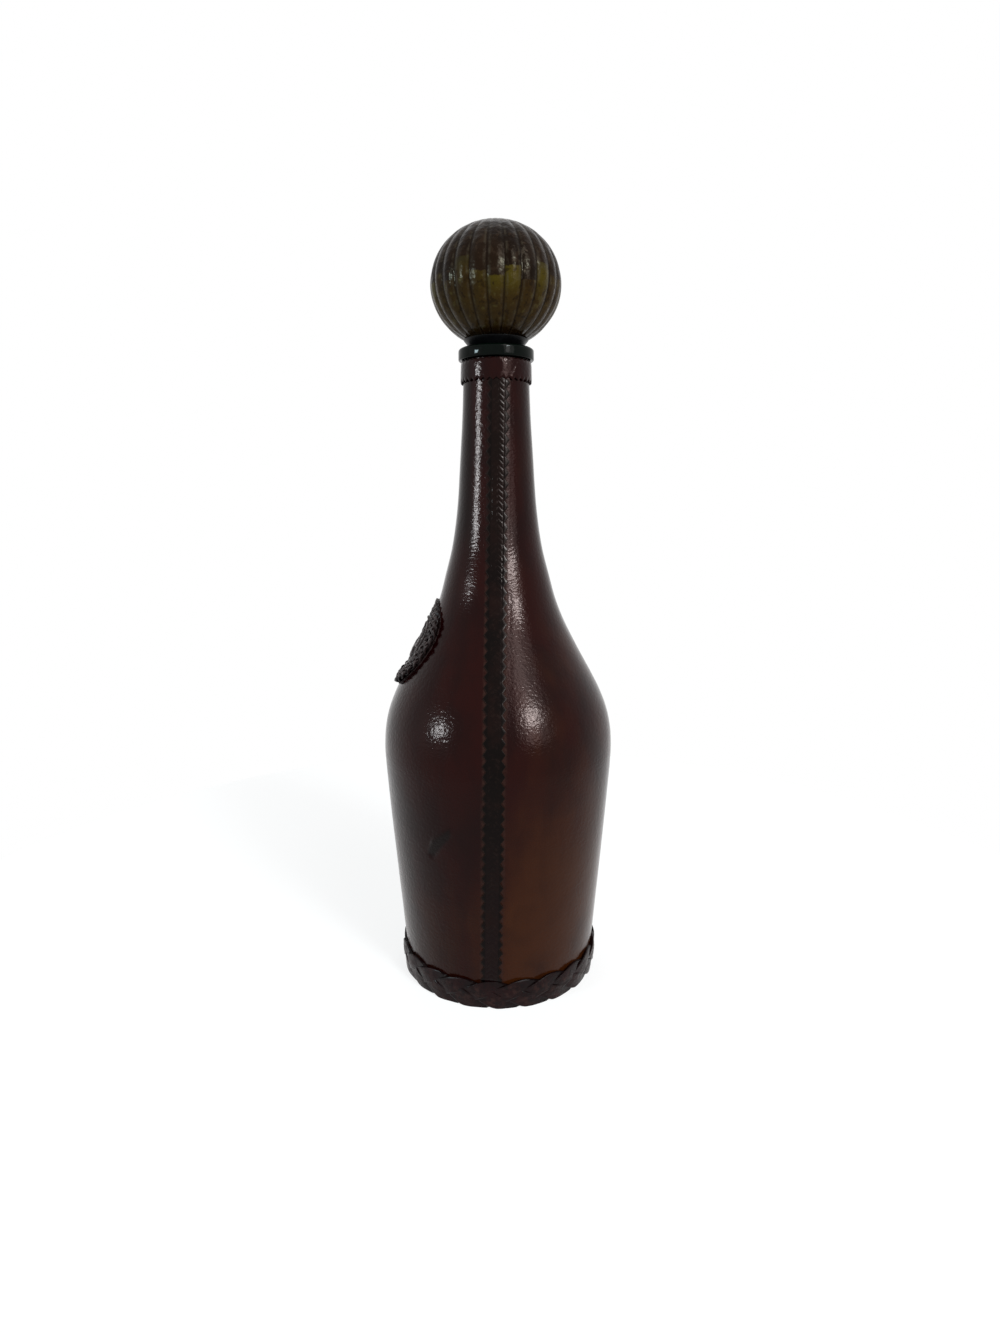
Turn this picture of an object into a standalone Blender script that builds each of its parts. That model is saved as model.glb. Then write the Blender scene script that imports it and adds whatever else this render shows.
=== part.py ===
"""Leather-wrapped decanter: a hollow glass bottle in a leather cover, with a ribbed glass ball stopper.

Metres, +Z up. The origin is the centre of the sole's underside. The near seam faces -Y and the
shoulder medallion faces -X. Each sub-part is one object, and the stopper's three pieces hang
from one empty on the neck's axis, along which the stopper lifts.
"""

import math

import bmesh
import bpy

# Gap that neighbouring pieces keep, how far a cutter runs past what it cuts, and how near points merge
FIT_GAP = 0.0003
OVERRUN = 0.0040
MERGE_DISTANCE = 0.00001

# Steps of a full turn, large and small, of a quarter round, of a dome's side and of a walk up the wall
TURN_STEPS = 40
SMALL_STEPS = 24
PATCH_STEPS = 32
ARC_STEPS = 4
DOME_STEPS = 6
WALK_STEPS = 40
SOFTENING = math.radians(35)

# Glass bottle
SHOULDER_HEIGHT = 0.1048
NECK_TOP = 0.2670
GLASS_FOOT_RADIUS = 0.0409
GLASS_SHOULDER_RADIUS = 0.0489
GLASS_NECK_RADIUS = 0.01195
GLASS_WALL = 0.0030
GLASS_FLOOR = 0.0045
HEEL_ROUNDING = 0.0045
FOOT_RING_WIDTH = 0.0070
PUNT_RISE = 0.0100
NECK_WALL = 0.0027
LIP_OVERHANG = 0.0036
LIP_HEIGHT = 0.0046
LIP_ROUNDING = 0.0011

# The glass wall's stations, as pairs of a height share and a radius share
WALL_SHARES = ((0.0, 0.0), (0.25, 0.272), (0.45, 0.490), (0.65, 0.705), (0.82, 0.872), (0.93, 0.970), (1.0, 1.0))
NECK_SHARES = ((0.05, 0.985), (0.10, 0.938), (0.15, 0.851), (0.20, 0.738), (0.25, 0.617), (0.30, 0.501),
               (0.35, 0.396), (0.40, 0.312), (0.46, 0.239), (0.54, 0.151), (0.64, 0.088), (0.76, 0.049),
               (0.88, 0.016), (1.0, 0.0))

# Leather cover
LEATHER_THICKNESS = 0.0013
SEAM_GAP = 0.0003
SEAM_TURN = math.radians(-3.0)
SOLE_THICKNESS = 0.0018
SOLE_CHAMFER = 0.0004

# Seam strips, which lean across their side's middle plane on the way up
STRIP_WIDTH = 0.0084
STRIP_THICKNESS = 0.0009
STRIP_FOOT_OFFSET = -0.0034
STRIP_TOP_OFFSET = 0.0011
STRIP_ROWS = 36

# Neck band
BAND_HEIGHT = 0.0083
BAND_THICKNESS = 0.0008

# Plaited foot trim
BRAID_HEIGHT = 0.0130
BRAID_THICKNESS = 0.0017
BRAID_TOP_EDGE = 0.0003
BRAID_FOOT_EDGE = 0.0011
BRAID_STEPS = 10

# Shoulder medallion
MEDALLION_RISE = 0.0445
MEDALLION_TURN = math.radians(-90.0)
MEDALLION_RADIUS = 0.0208
PATCH_THICKNESS = 0.0005
BORDER_INSET = 0.0004
BORDER_WIDTH = 0.0044
BORDER_HEIGHT = 0.0007
BOSS_HEIGHT = 0.0012
BOSS_EDGE_HEIGHT = 0.0005

# Stopper
BALL_RADIUS = 0.0265
BALL_HEIGHT = 0.0476
BALL_TRIM = 0.0018
BALL_RIBS = 24
STEPS_PER_RIB = 4
BALL_RINGS = 14
RIB_DEPTH = 0.0007
BALL_WALL = 0.0032
SHANK_RADIUS = 0.0045
SHANK_BORE_RADIUS = 0.0020
SHANK_LENGTH = 0.0130
COLLAR_SEAT = 0.0013
COLLAR_FLOOR = 0.0019
COLLAR_CUP_DEPTH = 0.0011
COLLAR_LIP = 0.0004
CORK_LENGTH = 0.0240
CORK_CLEARANCE = 0.0003
CORK_TAPER = 0.0008
CORK_CHAMFER = 0.0006

# Places worked out from the sizes above
GLASS_FOOT = SOLE_THICKNESS + FIT_GAP
COVER_LIFT = FIT_GAP + LEATHER_THICKNESS
BORE_RADIUS = GLASS_NECK_RADIUS - NECK_WALL
BORE_DEPTH = CORK_LENGTH + OVERRUN
LIP_UNDERSIDE = NECK_TOP + FIT_GAP
LIP_TOP = LIP_UNDERSIDE + LIP_HEIGHT
COLLAR_BOTTOM = LIP_TOP + FIT_GAP
BALL_FLAT = COLLAR_BOTTOM + COLLAR_FLOOR + FIT_GAP
BALL_CENTRE = BALL_FLAT - BALL_TRIM + BALL_HEIGHT / 2

# Colour, roughness and metallic value of each material
MATERIALS = {
    "green_glass": ((0.012, 0.026, 0.016), 0.08, 0.0),
    "amber_glass": ((0.085, 0.058, 0.018), 0.06, 0.0),
    "black_plastic": ((0.010, 0.010, 0.011), 0.30, 0.0),
    "cork": ((0.420, 0.270, 0.150), 0.85, 0.0),
    "cover_leather": ((0.085, 0.020, 0.013), 0.28, 0.0),
    "strip_leather": ((0.035, 0.014, 0.012), 0.40, 0.0),
    "plaited_leather": ((0.050, 0.018, 0.014), 0.38, 0.0),
    "sole_leather": ((0.120, 0.055, 0.030), 0.70, 0.0),
}


def new_collection(name):
    collection = bpy.data.collections.new(name)
    bpy.context.scene.collection.children.link(collection)
    return collection


def material(name):
    if name in bpy.data.materials:
        return bpy.data.materials[name]
    color, roughness, metallic = MATERIALS[name]
    made = bpy.data.materials.new(name)
    made.use_nodes = True
    shader = made.node_tree.nodes["Principled BSDF"]
    shader.inputs["Base Color"].default_value = (*color, 1.0)
    shader.inputs["Roughness"].default_value = roughness
    shader.inputs["Metallic"].default_value = metallic
    return made


def add_object(name, bm, material_name=None):
    """Makes an object of the bmesh: a part where it has a material, or else a cutter."""
    mesh = bpy.data.meshes.new(name)
    bm.to_mesh(mesh)
    bm.free()
    obj = bpy.data.objects.new(name, mesh)
    if material_name:
        mesh.materials.append(material(material_name))
        mesh.shade_smooth()
        mesh.set_sharp_from_angle(angle=SOFTENING)
        parts.objects.link(obj)
    else:
        obj.hide_render = True
        obj.display_type = "WIRE"
        cutters.objects.link(obj)
    return obj


def arc(centre, radius, start, end):
    """Points (radius, height) along an arc, its angles in degrees from +X."""
    angles = [math.radians(start + (end - start) * i / ARC_STEPS) for i in range(ARC_STEPS + 1)]
    return [(centre[0] + radius * math.cos(a), centre[1] + radius * math.sin(a)) for a in angles]


def dome(radius, foot, rise):
    """Points (radius, height) of a dome's side, from its foot to its top on the axis."""
    angles = [math.pi / 2 * i / DOME_STEPS for i in range(DOME_STEPS)]
    return [(radius * math.cos(a), foot + rise * math.sin(a)) for a in angles] + [(0.0, foot + rise)]


# The glass wall's outline, which the whole cover follows

def wall_stations():
    """(height, radius) of the wall's stations, from the foot up."""
    rise = SHOULDER_HEIGHT - GLASS_FOOT
    swell = GLASS_SHOULDER_RADIUS - GLASS_FOOT_RADIUS
    climb = NECK_TOP - SHOULDER_HEIGHT
    narrowing = GLASS_SHOULDER_RADIUS - GLASS_NECK_RADIUS
    stations = [(GLASS_FOOT + h * rise, GLASS_FOOT_RADIUS + r * swell) for h, r in WALL_SHARES]
    return stations + [(SHOULDER_HEIGHT + h * climb, GLASS_NECK_RADIUS + r * narrowing) for h, r in NECK_SHARES]


STATIONS = wall_stations()


def station_slope(i):
    """Slope of the wall at a station, from the stations beside it."""
    low, high = STATIONS[max(i - 1, 0)], STATIONS[min(i + 1, len(STATIONS) - 1)]
    return (high[1] - low[1]) / (high[0] - low[0])


def wall_span(height):
    """The cubic span that holds a height: its ends, their slopes, its length and the share along it."""
    i = max(k for k in range(len(STATIONS) - 1) if k == 0 or STATIONS[k][0] <= height)
    low, high = STATIONS[i], STATIONS[i + 1]
    length = high[0] - low[0]
    return low[1], high[1], station_slope(i), station_slope(i + 1), length, (height - low[0]) / length


def wall_radius(height):
    """Outer radius of the glass wall."""
    low, high, slope_low, slope_high, length, t = wall_span(height)
    ends = low * (1 + 2 * t) * (1 - t) ** 2 + high * (3 - 2 * t) * t ** 2
    return ends + length * (slope_low * t * (1 - t) ** 2 + slope_high * (t - 1) * t ** 2)


def wall_normal(height):
    """(radius, height) parts of the glass wall's outward normal."""
    low, high, slope_low, slope_high, length, t = wall_span(height)
    ends = (high - low) / length * 6 * t * (1 - t)
    slope = ends + slope_low * (1 - t) * (1 - 3 * t) + slope_high * t * (3 * t - 2)
    return 1 / math.hypot(1, slope), -slope / math.hypot(1, slope)


def wall_point(height, lift):
    """(radius, height) of the point that stands lift outside the glass wall."""
    out, up = wall_normal(height)
    return wall_radius(height) + out * lift, height + up * lift


def cover_radius(height, lift):
    """Radius, at this very height, of the surface that stands lift outside the glass wall."""
    out, _ = wall_normal(height)
    return wall_radius(height) + lift / out


def height_along(start, distance):
    """Height reached by going a distance up the wall from a height."""
    height = start
    for _ in range(WALK_STEPS):
        height += distance / WALK_STEPS * wall_normal(height)[0]
    return height


def around(radius, height, turn):
    """The point of this radius and height, turned from the -Y side, towards +X where positive."""
    return radius * math.sin(turn), -radius * math.cos(turn), height


# Shapes that several pieces share

def profile_bmesh(profile, closed):
    """Edges through (radius, height) points, which run down the outer side."""
    bm = bmesh.new()
    points = [bm.verts.new((radius, 0.0, height)) for radius, height in profile]
    for a, b in zip(points, points[1:]):
        bm.edges.new((a, b))
    if closed:
        bm.edges.new((points[-1], points[0]))
    return bm


def turned(name, profile, material_name=None, steps=TURN_STEPS, angle=math.tau, closed=False):
    obj = add_object(name, profile_bmesh(profile, closed), material_name)
    screw = obj.modifiers.new("turn", "SCREW")
    screw.axis = "Z"
    screw.angle = angle
    screw.steps = steps
    screw.render_steps = steps
    screw.use_merge_vertices = angle == math.tau
    screw.merge_threshold = MERGE_DISTANCE
    screw.use_smooth_shade = True
    return obj


def solidify(obj, thickness, offset):
    shell = obj.modifiers.new("thickness", "SOLIDIFY")
    shell.thickness = thickness
    shell.offset = offset
    shell.use_even_offset = True


def cut(obj, cutter, operation="DIFFERENCE"):
    boolean = obj.modifiers.new(cutter.name, "BOOLEAN")
    boolean.operation = operation
    boolean.object = cutter
    boolean.solver = "EXACT"


# Glass bottle

def lip_profile():
    """The lip, from the bore's edge over its rounded corners to its underside."""
    outer = GLASS_NECK_RADIUS + LIP_OVERHANG
    corner = outer - LIP_ROUNDING
    top = arc((corner, LIP_TOP - LIP_ROUNDING), LIP_ROUNDING, 90, 0)
    bottom = arc((corner + LIP_ROUNDING / 2, LIP_UNDERSIDE + LIP_ROUNDING / 2), LIP_ROUNDING / 2, 0, -90)
    return [(BORE_RADIUS, LIP_TOP)] + top + bottom + [(wall_radius(NECK_TOP), LIP_UNDERSIDE)]


def outer_wall_profile():
    """The wall from the neck down to the heel, and the foot ring's flat."""
    heel = GLASS_FOOT + HEEL_ROUNDING
    rows = [(radius, height) for height, radius in STATIONS if height > heel + HEEL_ROUNDING]
    centre = (wall_radius(heel) - HEEL_ROUNDING, heel)
    return rows[::-1] + arc(centre, HEEL_ROUNDING, 0, -90)


def inner_wall_profile():
    """The inside wall from the floor's rounding up to the straight bore of the mouth."""
    floor = GLASS_FOOT + GLASS_FLOOR
    bore_bottom = LIP_TOP - BORE_DEPTH
    heel = floor + HEEL_ROUNDING
    centre = (cover_radius(heel, -GLASS_WALL) - HEEL_ROUNDING, heel)
    rows = [wall_point(height, -GLASS_WALL) for height, _ in STATIONS[::2]]
    rows = [row for row in rows if heel + HEEL_ROUNDING < row[1] < bore_bottom - BORE_RADIUS]
    return arc(centre, HEEL_ROUNDING, -90, 0) + rows + [(BORE_RADIUS, bore_bottom)]


def glass_bottle():
    heel = GLASS_FOOT + HEEL_ROUNDING
    punt_radius = wall_radius(heel) - HEEL_ROUNDING - FOOT_RING_WIDTH
    floor = dome(punt_radius, GLASS_FOOT + GLASS_FLOOR, PUNT_RISE)[::-1]
    punt = dome(punt_radius, GLASS_FOOT, PUNT_RISE)
    profile = floor + inner_wall_profile() + lip_profile() + outer_wall_profile() + punt
    return turned("glass_bottle", profile, "green_glass")


# Leather cover

def leather_panel(name, turn):
    """Half of the cover, from one seam to the other, starting at a turn from the -Y side."""
    rows = [(cover_radius(height, COVER_LIFT), height) for height, _ in STATIONS]
    gap_angle = SEAM_GAP / cover_radius(NECK_TOP, COVER_LIFT)
    panel = turned(name, rows[::-1], "cover_leather", TURN_STEPS // 2, math.pi - gap_angle)
    panel.rotation_euler.z = turn + SEAM_TURN + gap_angle / 2 - math.pi / 2
    solidify(panel, LEATHER_THICKNESS, -1)
    return panel


def leather_sole():
    radius = cover_radius(GLASS_FOOT, COVER_LIFT)
    inner = radius - SOLE_CHAMFER
    profile = [(0.0, SOLE_THICKNESS), (radius, SOLE_THICKNESS), (radius, SOLE_CHAMFER), (inner, 0.0), (0.0, 0.0)]
    return turned("leather_sole", profile, "sole_leather")


def seam_strip(name, turn):
    """A strip over one seam, from the foot trim up to the neck band."""
    low = BRAID_HEIGHT + FIT_GAP
    high = NECK_TOP - BAND_HEIGHT - FIT_GAP
    bm = bmesh.new()
    bmesh.ops.create_grid(bm, x_segments=2, y_segments=STRIP_ROWS, size=1.0)
    for vert in bm.verts:
        share = (vert.co.y + 1) / 2
        height = low + (high - low) * share
        radius = cover_radius(height, COVER_LIFT + FIT_GAP)
        middle = STRIP_FOOT_OFFSET + (STRIP_TOP_OFFSET - STRIP_FOOT_OFFSET) * share
        vert.co = around(radius, height, turn + (middle + vert.co.x * STRIP_WIDTH / 2) / radius)
    strip = add_object(name, bm, "strip_leather")
    solidify(strip, STRIP_THICKNESS, 1)
    return strip


def neck_band():
    """The leather band under the lip."""
    low = NECK_TOP - BAND_HEIGHT
    inner = COVER_LIFT + FIT_GAP
    outer = inner + BAND_THICKNESS
    profile = [(cover_radius(NECK_TOP, outer), NECK_TOP), (cover_radius(low, outer), low),
               (cover_radius(low, inner), low), (cover_radius(NECK_TOP, inner), NECK_TOP)]
    return turned("neck_band", profile, "cover_leather", closed=True)


def foot_braid():
    """The trim's outer shape, bulging round the cover's foot and the sole, down to the surface below."""
    foot = cover_radius(GLASS_FOOT, COVER_LIFT) + FIT_GAP
    top = cover_radius(BRAID_HEIGHT, COVER_LIFT) + FIT_GAP
    outer = []
    for i in range(BRAID_STEPS + 1):
        share = (1 - math.cos(math.pi * i / BRAID_STEPS)) / 2
        edge = BRAID_TOP_EDGE if share < 0.5 else BRAID_FOOT_EDGE
        bulge = edge + (BRAID_THICKNESS - edge) * math.sqrt(math.sin(math.pi * share))
        outer.append((top + (foot - top) * share + bulge, BRAID_HEIGHT * (1 - share)))
    profile = outer + [(foot, 0.0), (foot, GLASS_FOOT), (top, BRAID_HEIGHT)]
    return turned("foot_braid", profile, "plaited_leather", closed=True)


# Shoulder medallion

def laid_on_shoulder(name, profile, lift, closed):
    """Spins a flat-lying profile and bends it onto the shoulder, lift outside the glass wall."""
    bm = profile_bmesh(profile, closed)
    bmesh.ops.spin(bm, geom=bm.verts[:] + bm.edges[:], cent=(0, 0, 0), axis=(0, 0, 1), dvec=(0, 0, 0),
                   angle=math.tau, steps=PATCH_STEPS, use_merge=True, use_duplicate=False)
    bmesh.ops.remove_doubles(bm, verts=bm.verts, dist=MERGE_DISTANCE)
    bmesh.ops.recalc_face_normals(bm, faces=bm.faces)
    for vert in bm.verts:
        height = height_along(SHOULDER_HEIGHT + MEDALLION_RISE, vert.co.y)
        radius, level = wall_point(height, lift + vert.co.z)
        turn = MEDALLION_TURN + vert.co.x / (wall_radius(height) + COVER_LIFT)
        vert.co = around(radius, level, turn)
    return add_object(name, bm, "plaited_leather")


def medallion_patch():
    radii = [MEDALLION_RADIUS * i / DOME_STEPS for i in range(DOME_STEPS + 1)]
    top = [(radius, PATCH_THICKNESS) for radius in radii]
    bottom = [(radius, 0.0) for radius in radii]
    return laid_on_shoulder("medallion_patch", top + bottom[::-1], COVER_LIFT + FIT_GAP, False)


def medallion_border():
    """The plaited border's outer shape: a flattened ring."""
    middle = MEDALLION_RADIUS - BORDER_INSET - BORDER_WIDTH / 2
    angles = [math.tau * i / (2 * ARC_STEPS) for i in range(2 * ARC_STEPS)]
    half = BORDER_HEIGHT / 2
    profile = [(middle + BORDER_WIDTH / 2 * math.sin(a), half + half * math.cos(a)) for a in angles]
    lift = COVER_LIFT + FIT_GAP + PATCH_THICKNESS + FIT_GAP
    return laid_on_shoulder("medallion_border", profile, lift, True)


def medallion_boss():
    """The padded middle inside the border."""
    radius = MEDALLION_RADIUS - BORDER_INSET - BORDER_WIDTH - FIT_GAP
    top = dome(radius, BOSS_EDGE_HEIGHT, BOSS_HEIGHT - BOSS_EDGE_HEIGHT)[::-1]
    bottom = [(radius * i / ARC_STEPS, 0.0) for i in range(ARC_STEPS, -1, -1)]
    lift = COVER_LIFT + FIT_GAP + PATCH_THICKNESS + FIT_GAP
    return laid_on_shoulder("medallion_boss", top + bottom, lift, False)


# Stopper

def ball_radius_at(height):
    """Radius of the ball's plain form, over the ribs, at a height."""
    share = (height - BALL_CENTRE) / (BALL_HEIGHT / 2)
    return BALL_RADIUS * math.sqrt(1 - share * share)


def ribbed_ball():
    """A flattened ball with upright ribs, round on their crests and sharp in the grooves."""
    bm = bmesh.new()
    bmesh.ops.create_uvsphere(bm, u_segments=BALL_RIBS * STEPS_PER_RIB, v_segments=BALL_RINGS, radius=1.0)
    for vert in bm.verts:
        turn = math.atan2(vert.co.y, vert.co.x)
        crest = abs(math.cos(BALL_RIBS / 2 * turn))
        radius = BALL_RADIUS - RIB_DEPTH * (1 - crest)
        vert.co = (vert.co.x * radius, vert.co.y * radius, BALL_CENTRE + vert.co.z * BALL_HEIGHT / 2)
    return add_object("stopper_ball", bm, "amber_glass")


def ball_flat_cutter():
    """Takes off the ball's underside where it sits in the collar."""
    top, bottom = BALL_FLAT, BALL_FLAT - BALL_TRIM - OVERRUN
    profile = [(0.0, top), (BALL_RADIUS, top), (BALL_RADIUS, bottom), (0.0, bottom)]
    return turned("ball_flat_cutter", profile, steps=SMALL_STEPS)


def shank_shape():
    """The shank, from inside the ball's wall down into the cork."""
    top, bottom = BALL_FLAT + BALL_WALL / 2, LIP_TOP - SHANK_LENGTH
    profile = [(0.0, top), (SHANK_RADIUS, top), (SHANK_RADIUS, bottom), (0.0, bottom)]
    return turned("shank_shape", profile, steps=SMALL_STEPS)


def ball_hollow_cutter():
    """The blown hollow, open through the shank."""
    radius = BALL_RADIUS - RIB_DEPTH - BALL_WALL
    half = BALL_HEIGHT / 2 - BALL_TRIM - BALL_WALL
    end = math.asin(SHANK_BORE_RADIUS / radius)
    angles = [(math.pi - end) * i / (2 * DOME_STEPS) for i in range(1, 2 * DOME_STEPS + 1)]
    side = [(radius * math.sin(a), BALL_CENTRE + half * math.cos(a)) for a in angles]
    bottom = LIP_TOP - SHANK_LENGTH - OVERRUN
    profile = [(0.0, BALL_CENTRE + half)] + side + [(SHANK_BORE_RADIUS, bottom), (0.0, bottom)]
    return turned("ball_hollow_cutter", profile, steps=SMALL_STEPS)


def stopper_ball():
    ball = ribbed_ball()
    cut(ball, ball_flat_cutter())
    cut(ball, shank_shape(), "UNION")
    cut(ball, ball_hollow_cutter())
    return ball


def stopper_collar():
    """A black cup that sits on the lip and holds the ball's foot."""
    foot = BORE_RADIUS + COLLAR_SEAT
    floor = COLLAR_BOTTOM + COLLAR_FLOOR
    rim = floor + FIT_GAP + COLLAR_CUP_DEPTH
    cup = ball_radius_at(rim) + FIT_GAP
    seat = ball_radius_at(BALL_FLAT) + FIT_GAP
    hole = SHANK_RADIUS + FIT_GAP
    profile = [(hole, floor), (seat, floor), (cup, rim), (cup + COLLAR_LIP, rim),
               (foot, COLLAR_BOTTOM), (hole, COLLAR_BOTTOM)]
    return turned("stopper_collar", profile, "black_plastic", closed=True)


def stopper_cork():
    """A tapered cork with a blind bore for the shank."""
    top, bottom = LIP_TOP, LIP_TOP - CORK_LENGTH
    wide = BORE_RADIUS - CORK_CLEARANCE
    narrow = wide - CORK_TAPER
    hole = SHANK_RADIUS + FIT_GAP
    hole_bottom = LIP_TOP - SHANK_LENGTH - FIT_GAP
    profile = [(0.0, hole_bottom), (hole, hole_bottom), (hole, top), (wide, top),
               (narrow, bottom + CORK_CHAMFER), (narrow - CORK_CHAMFER, bottom), (0.0, bottom)]
    return turned("stopper_cork", profile, "cork", steps=SMALL_STEPS)


def stopper():
    """The three glued pieces, carried by an empty at the lip on the axis they lift along."""
    lift = bpy.data.objects.new("stopper_lift", None)
    lift.location.z = LIP_TOP
    parts.objects.link(lift)
    for piece in (stopper_ball(), stopper_collar(), stopper_cork()):
        piece.parent = lift
        piece.location.z = -LIP_TOP


for startup_object in list(bpy.data.objects):
    bpy.data.objects.remove(startup_object, do_unlink=True)
parts = new_collection("leather_wrapped_decanter")
cutters = new_collection("cutters")
glass_bottle()
leather_panel("leather_panel_right", 0.0)
leather_panel("leather_panel_left", math.pi)
leather_sole()
seam_strip("seam_strip_front", 0.0)
seam_strip("seam_strip_back", math.pi)
neck_band()
foot_braid()
medallion_patch()
medallion_border()
medallion_boss()
stopper()
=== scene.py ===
"""Leather-wrapped decanter: the visible pieces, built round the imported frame.

Metres, +Z up. The near seam faces -Y and the shoulder medallion faces -X. A turn is an angle from
the -Y side, towards +X where positive, and a lift is a distance outside the leather cover.
"""

import math

import bpy
import numpy as np
from mathutils import Matrix, Vector

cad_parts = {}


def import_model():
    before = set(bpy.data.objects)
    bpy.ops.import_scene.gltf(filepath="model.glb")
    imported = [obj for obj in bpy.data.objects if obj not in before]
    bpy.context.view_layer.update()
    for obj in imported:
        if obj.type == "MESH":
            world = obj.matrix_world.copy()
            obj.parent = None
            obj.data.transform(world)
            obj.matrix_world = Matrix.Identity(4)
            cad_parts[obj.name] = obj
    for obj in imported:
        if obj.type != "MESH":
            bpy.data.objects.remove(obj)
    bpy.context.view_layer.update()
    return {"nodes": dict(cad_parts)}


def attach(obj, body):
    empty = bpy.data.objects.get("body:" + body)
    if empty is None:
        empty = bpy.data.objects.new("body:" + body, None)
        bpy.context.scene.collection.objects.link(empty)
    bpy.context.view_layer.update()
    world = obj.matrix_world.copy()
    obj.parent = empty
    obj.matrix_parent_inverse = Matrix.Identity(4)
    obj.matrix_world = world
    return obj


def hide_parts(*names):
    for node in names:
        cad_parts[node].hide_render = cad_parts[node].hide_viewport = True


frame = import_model()
NODES = frame["nodes"]

MM = 0.001

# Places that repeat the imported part's
FOOT_HEIGHT = 0.0021
NECK_TOP = 0.2670
LEATHER_THICKNESS = 0.0013
SEAM_TURN = math.radians(-3.0)
SEAM_HALF_GAP = 0.0001
STRIP_LOW = 0.0133
STRIP_HIGH = 0.2584
STRIP_FOOT_OFFSET = -0.0034
STRIP_TOP_OFFSET = 0.0011
BAND_LOW = 0.2587
BRAID_HEIGHT = 0.0130
MEDALLION_HEIGHT = 0.1504
MEDALLION_TURN = math.radians(-90.0)
MEDALLION_RADIUS = 0.0208
BALL_CENTRE = 0.2964
BALL_RADIUS = 0.0265
BALL_HALF_HEIGHT = 0.0238
BALL_FLAT = 0.2744
BALL_WALL = 0.0032
RIB_DEPTH = 0.0007
BALL_RIBS = 24
SHANK_RADIUS = 0.0045
SHANK_BORE_RADIUS = 0.0020
SHANK_BOTTOM = 0.2589


# Numbers from arrays of points

def hashed(cell, seed):
    """A value from 0 to 1 for each whole-numbered cell, the same on every run."""
    mixed = cell[..., 0] * 73856093 + cell[..., 1] * 19349663 + cell[..., 2] * 83492791 + seed * 2654435
    mixed = (mixed ^ (mixed >> 13)) * 1274126177 & 0xFFFFFFFF
    mixed = (mixed ^ (mixed >> 15)) * 2246822519 & 0xFFFFFFFF
    return (mixed ^ (mixed >> 16)) / 0xFFFFFFFF


def noise(points, size, seed):
    """Smooth noise from -1 to 1, whose lumps are about size across. Size may differ by axis."""
    scaled = points / size
    cell = np.floor(scaled).astype(np.int64)
    share = scaled - cell
    share = share ** 3 * (share * (share * 6 - 15) + 10)
    total = np.zeros(points.shape[:-1])
    for corner in np.ndindex(2, 2, 2):
        step = np.array(corner)
        weight = np.prod(np.where(step == 1, share, 1 - share), axis=-1)
        total += weight * hashed(cell + step, seed)
    return total * 2 - 1


def smooth_step(low, high, value):
    share = np.clip((value - low) / (high - low), 0.0, 1.0)
    return share * share * (3 - 2 * share)


def zigzag(value):
    """From 0 at whole numbers up to 1 half-way between them."""
    return 1 - np.abs(2 * (value - np.floor(value)) - 1)


# The cover's outline, which every leather piece follows

def cover_outline():
    """(heights, radii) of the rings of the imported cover's outer face, from the foot up."""
    rings = {}
    mesh = NODES["leather_panel_left"].data
    for face in mesh.polygons:
        away = Vector((face.center.x, face.center.y, 0.0)).normalized()
        if face.normal.dot(away) < 0.5:
            continue
        for i in face.vertices:
            x, y, z = mesh.vertices[i].co
            rings.setdefault(round(z, 5), []).append(math.hypot(x, y))
    heights = sorted(rings)
    return np.array(heights), np.array([max(rings[height]) for height in heights])


RING_HEIGHTS, RING_RADII = cover_outline()
# Each ring's neighbours, and the outline's slope between them
RING_LOW = np.maximum(np.arange(len(RING_HEIGHTS)) - 1, 0)
RING_HIGH = np.minimum(np.arange(len(RING_HEIGHTS)) + 1, len(RING_HEIGHTS) - 1)
RING_SLOPES = ((RING_RADII[RING_HIGH] - RING_RADII[RING_LOW])
               / (RING_HEIGHTS[RING_HIGH] - RING_HEIGHTS[RING_LOW]))


def cover_span(height):
    """(ring below, distance to the ring above, share of the way there) for each height."""
    i = np.clip(np.searchsorted(RING_HEIGHTS, height, side="right") - 1, 0, len(RING_HEIGHTS) - 2)
    length = RING_HEIGHTS[i + 1] - RING_HEIGHTS[i]
    share = np.clip((height - RING_HEIGHTS[i]) / length, 0.0, 1.0)
    return i, length, share


def cover_radius(height):
    """The outline's radius, on a smooth curve through the rings."""
    i, length, t = cover_span(height)
    ends = RING_RADII[i] * (1 + 2 * t) * (1 - t) ** 2 + RING_RADII[i + 1] * (3 - 2 * t) * t ** 2
    return ends + length * (RING_SLOPES[i] * t * (1 - t) ** 2 + RING_SLOPES[i + 1] * (t - 1) * t ** 2)


def cover_slope(height):
    """How fast the radius grows with height."""
    i, length, t = cover_span(height)
    ends = (RING_RADII[i + 1] - RING_RADII[i]) / length * 6 * t * (1 - t)
    return ends + RING_SLOPES[i] * (1 - t) * (1 - 3 * t) + RING_SLOPES[i + 1] * t * (3 * t - 2)


def around(radius, height, turn):
    """Points at radii, heights and turns about the axis."""
    return np.stack([radius * np.sin(turn), -radius * np.cos(turn), height + 0 * turn], axis=-1)


def on_cover(height, turn, lift):
    """Points that stand lift outside the cover."""
    slope = cover_slope(height)
    out = 1 / np.hypot(1, slope)
    return around(cover_radius(height) + out * lift, height - slope * out * lift, turn)


WALK_HEIGHTS = np.linspace(FOOT_HEIGHT, NECK_TOP, 2000)
WALK_STEPS = np.hypot(1, cover_slope(WALK_HEIGHTS)) * (WALK_HEIGHTS[1] - WALK_HEIGHTS[0])
WALK_LENGTHS = np.cumsum(WALK_STEPS) - WALK_STEPS[0]


def heights_evenly(low, high, count):
    """Heights from low to high that lie evenly along the cover's outline."""
    ends = np.interp([low, high], WALK_HEIGHTS, WALK_LENGTHS)
    return np.interp(np.linspace(*ends, count), WALK_LENGTHS, WALK_HEIGHTS)


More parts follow.
